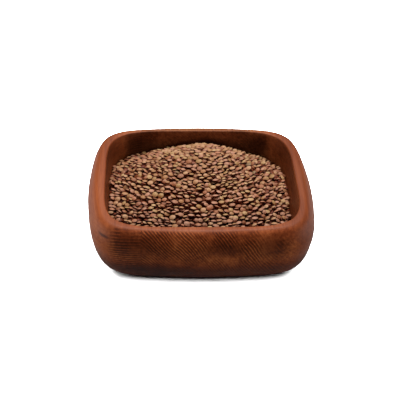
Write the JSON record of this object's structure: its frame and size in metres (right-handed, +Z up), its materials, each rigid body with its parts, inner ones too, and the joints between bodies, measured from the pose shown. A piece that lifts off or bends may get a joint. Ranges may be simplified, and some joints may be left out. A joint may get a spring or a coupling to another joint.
{
  "type": "bowl of dry lentils",
  "caption": "Square wooden bowl with softly rounded corners, heaped with dry brown lentils.",
  "frame": {"origin": "centre of the bowl's flat foot, on the surface it stands on", "axes": "+X along the front wall to the right, +Y from the front wall to the back wall, +Z up"},
  "size_m": [0.2, 0.2, 0.0633],
  "materials": {
    "oiled_wood": "satin",
    "lentils": "satin"
  },
  "bodies": {
    "root": {"bowl": "oiled_wood", "lentil_heap": "lentils"}
  },
  "joints": []
}
